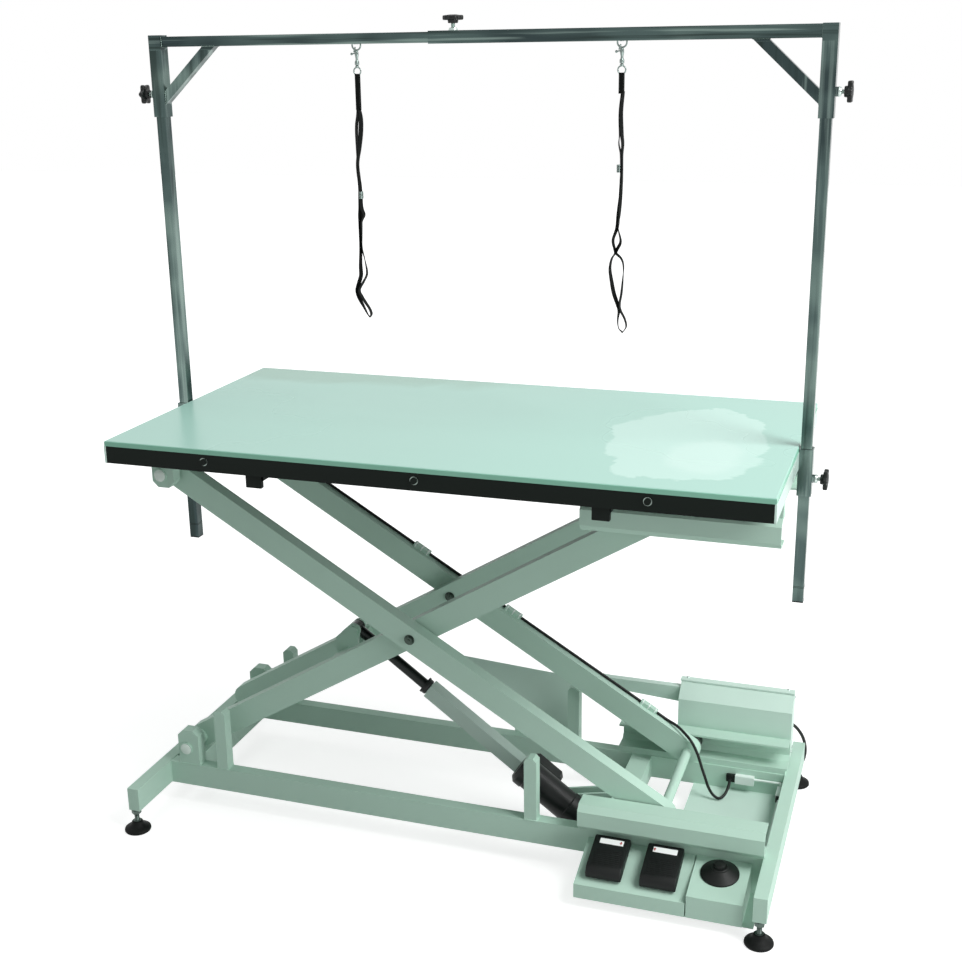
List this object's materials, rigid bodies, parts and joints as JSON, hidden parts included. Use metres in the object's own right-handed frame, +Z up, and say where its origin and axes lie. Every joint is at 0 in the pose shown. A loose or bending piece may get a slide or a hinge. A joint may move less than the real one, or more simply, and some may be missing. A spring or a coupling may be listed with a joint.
{
  "type": "dog grooming table",
  "caption": "Electric scissor-lift grooming table with a lit glass top, foot switches, adjustable feet and an overhead gantry that carries two grooming nooses.",
  "frame": {"origin": "on the floor under the middle of the table top", "axes": "+X along the table to the end with the foot switches, +Y to the back, +Z up"},
  "size_m": [1.3602, 0.7206, 1.6063],
  "materials": {
    "frame_paint": "satin powder coat",
    "plated_steel": "bright zinc",
    "chromed_steel": "polished",
    "black_paint": "satin",
    "actuator_paint": "satin",
    "black_plastic": "moulded",
    "pedal_rubber": "ribbed",
    "pale_plastic": "plain",
    "cable_rubber": "smooth",
    "top_glass": "ground, green tinted",
    "strap": "woven webbing"
  },
  "bodies": {
    "base": {"base_cross_tubes": "frame_paint", "base_rails": "frame_paint", "base_inner_tubes": "frame_paint", "rail_posts": "frame_paint", "lower_pins": "frame_paint", "tracks_low": "frame_paint", "base_plates": "frame_paint", "cable_duct": "frame_paint", "control_box": "frame_paint", "control_lid": "frame_paint", "pedal_panel": "frame_paint", "switch_bodies": "black_plastic", "light_connectors": "pale_plastic", "mains_lead": "cable_rubber", "mains_coil": "cable_rubber", "mains_plug": "cable_rubber"},
    "inner_frame": {"inner_arm_near": "frame_paint", "inner_arm_far": "frame_paint", "inner_cross": "frame_paint", "inner_shafts": "frame_paint", "centre_bolts": "plated_steel"},
    "outer_frame": {"outer_arm_near": "frame_paint", "outer_arm_far": "frame_paint", "outer_shaft": "frame_paint", "arm_cable": "cable_rubber"},
    "table": {"glass_top": "top_glass", "lit_panel": "pale_plastic", "top_tray": "black_paint", "top_bearers": "frame_paint", "cross_bars": "black_paint", "tracks_up": "frame_paint", "upper_ears": "frame_paint", "post_clamps": "chromed_steel"},
    "actuator_body": {"actuator_tube": "actuator_paint", "actuator_motor": "black_paint"},
    "gantry": {"gantry_left": "chromed_steel", "gantry_right": "chromed_steel"},
    "light_cable": {"light_cable": "cable_rubber"},
    "rollers_low": {"rollers_low": "black_plastic"},
    "rollers_up": {"rollers_up": "black_plastic"},
    "actuator_rod": {"actuator_rod": "black_paint"},
    "pedal_down": {"pedal_down": "pedal_rubber"},
    "pedal_up": {"pedal_up": "pedal_rubber"},
    "switch_button": {"switch_button": "black_plastic"},
    "foot_front_left": {"foot_front_left": "black_plastic"},
    "foot_back_left": {"foot_back_left": "black_plastic"},
    "foot_front_right": {"foot_front_right": "black_plastic"},
    "foot_back_right": {"foot_back_right": "black_plastic"},
    "post_left": {"post_left": "chromed_steel"},
    "post_right": {"post_right": "chromed_steel"},
    "knob_beam": {"knob_beam": "black_plastic"},
    "knob_corner_left": {"knob_corner_left": "black_plastic"},
    "knob_corner_right": {"knob_corner_right": "black_plastic"},
    "knob_clamp_left": {"knob_clamp_left": "black_plastic"},
    "knob_clamp_right": {"knob_clamp_right": "black_plastic"},
    "snap_left": {"snap_left": "chromed_steel"},
    "snap_right": {"snap_right": "chromed_steel"},
    "noose_left": {"noose_left": "strap"},
    "noose_right": {"noose_right": "strap"}
  },
  "joints": [
    {"name": "lift", "type": "hinge", "parent": "base", "child": "inner_frame", "pos_m": [-0.598, 0, 0.134], "axis": [0, -1, 0], "range_deg": [-23, 9.5]},
    {"name": "scissor_centre", "type": "hinge", "parent": "inner_frame", "child": "outer_frame", "pos_m": [-0.09, 0, 0.4395], "axis": [0, -1, 0], "range_deg": [-19, 46]},
    {"name": "table_level", "type": "hinge", "parent": "outer_frame", "child": "table", "pos_m": [-0.598, 0, 0.745], "axis": [0, -1, 0], "range_deg": [-23, 9.5]},
    {"name": "roller_low_spin", "type": "hinge", "parent": "outer_frame", "child": "rollers_low", "pos_m": [0.418, 0, 0.134], "axis": [0, -1, 0], "continuous": true},
    {"name": "roller_up_spin", "type": "hinge", "parent": "inner_frame", "child": "rollers_up", "pos_m": [0.418, 0, 0.745], "axis": [0, -1, 0], "continuous": true},
    {"name": "actuator_tilt", "type": "hinge", "parent": "inner_frame", "child": "actuator_rod", "pos_m": [-0.26469, -0.01, 0.38695], "axis": [0, -1, 0], "range_deg": [-13, 31]},
    {"name": "light_cable_reach", "type": "slide", "parent": "base", "child": "light_cable", "axis": [0.9836, 0, -0.1803], "range_m": [-0.069, 0.166], "deforming": ["light_cable"]},
    {"name": "actuator_stroke", "type": "slide", "parent": "actuator_rod", "child": "actuator_body", "axis": [0.8052, 0, -0.593], "range_m": [-0.146, 0.0605]},
    {"name": "pedal_down_press", "type": "hinge", "parent": "base", "child": "pedal_down", "pos_m": [0.336, -0.19637, 0.08955], "axis": [1, 0, 0], "range_deg": [0, 3], "stiffness_Nm_per_rad": 8, "springref_deg": -5.73},
    {"name": "pedal_up_press", "type": "hinge", "parent": "base", "child": "pedal_up", "pos_m": [0.439, -0.19637, 0.08955], "axis": [1, 0, 0], "range_deg": [0, 3], "stiffness_Nm_per_rad": 8, "springref_deg": -5.73},
    {"name": "switch_press", "type": "slide", "parent": "base", "child": "switch_button", "axis": [0, 0.1564, -0.9877], "range_m": [0, 0.004], "stiffness_N_per_m": 500, "springref_m": -0.004},
    {"name": "foot_front_left_turn", "type": "hinge", "parent": "base", "child": "foot_front_left", "pos_m": [-0.653, -0.298, 0], "axis": [0, 0, 1], "continuous": true},
    {"name": "foot_back_left_turn", "type": "hinge", "parent": "base", "child": "foot_back_left", "pos_m": [-0.653, 0.298, 0], "axis": [0, 0, 1], "continuous": true},
    {"name": "foot_front_right_turn", "type": "hinge", "parent": "base", "child": "foot_front_right", "pos_m": [0.631, -0.298, 0], "axis": [0, 0, 1], "continuous": true},
    {"name": "foot_back_right_turn", "type": "hinge", "parent": "base", "child": "foot_back_right", "pos_m": [0.631, 0.298, 0], "axis": [0, 0, 1], "continuous": true},
    {"name": "post_left_slide", "type": "slide", "parent": "table", "child": "post_left", "axis": [0, 0, 1], "range_m": [0, 0.17]},
    {"name": "post_right_slide", "type": "slide", "parent": "table", "child": "post_right", "axis": [0, 0, 1], "range_m": [0, 0.17]},
    {"name": "gantry_slide", "type": "slide", "parent": "post_left", "child": "gantry", "axis": [0, 0, 1], "range_m": [0, 0.07]},
    {"name": "knob_beam_turn", "type": "hinge", "parent": "gantry", "child": "knob_beam", "pos_m": [-0.028, 0, 1.59], "axis": [0, 0, 1], "continuous": true},
    {"name": "knob_corner_left_turn", "type": "hinge", "parent": "gantry", "child": "knob_corner_left", "pos_m": [-0.66, 0, 1.47], "axis": [1, 0, 0], "continuous": true},
    {"name": "knob_clamp_left_turn", "type": "hinge", "parent": "table", "child": "knob_clamp_left", "pos_m": [-0.66, 0, 0.791], "axis": [1, 0, 0], "continuous": true},
    {"name": "knob_corner_right_turn", "type": "hinge", "parent": "gantry", "child": "knob_corner_right", "pos_m": [0.66, 0, 1.47], "axis": [1, 0, 0], "continuous": true},
    {"name": "knob_clamp_right_turn", "type": "hinge", "parent": "table", "child": "knob_clamp_right", "pos_m": [0.66, 0, 0.791], "axis": [1, 0, 0], "continuous": true},
    {"name": "snap_left_swing", "type": "hinge", "parent": "gantry", "child": "snap_left", "pos_m": [-0.219, 0, 1.56], "axis": [0, 1, 0], "range_deg": [-20, 20]},
    {"name": "noose_left_swivel", "type": "hinge", "parent": "snap_left", "child": "noose_left", "pos_m": [-0.219, 0, 1.52375], "axis": [0, 0, 1], "continuous": true},
    {"name": "snap_right_swing", "type": "hinge", "parent": "gantry", "child": "snap_right", "pos_m": [0.284, 0, 1.55825], "axis": [0, 1, 0], "range_deg": [-20, 20]},
    {"name": "noose_right_swivel", "type": "hinge", "parent": "snap_right", "child": "noose_right", "pos_m": [0.284, 0, 1.522], "axis": [0, 0, 1], "continuous": true}
  ],
  "couplings": [
    {"joint": "scissor_centre", "follows": "lift", "ratio": -2},
    {"joint": "table_level", "follows": "lift", "ratio": 1},
    {"joint": "actuator_tilt", "follows": "lift", "ratio": -1.34},
    {"joint": "actuator_stroke", "follows": "lift", "m_per_rad": 0.363},
    {"joint": "light_cable_reach", "follows": "lift", "m_per_rad": -0.41},
    {"joint": "post_right_slide", "follows": "post_left_slide", "ratio": 1}
  ]
}
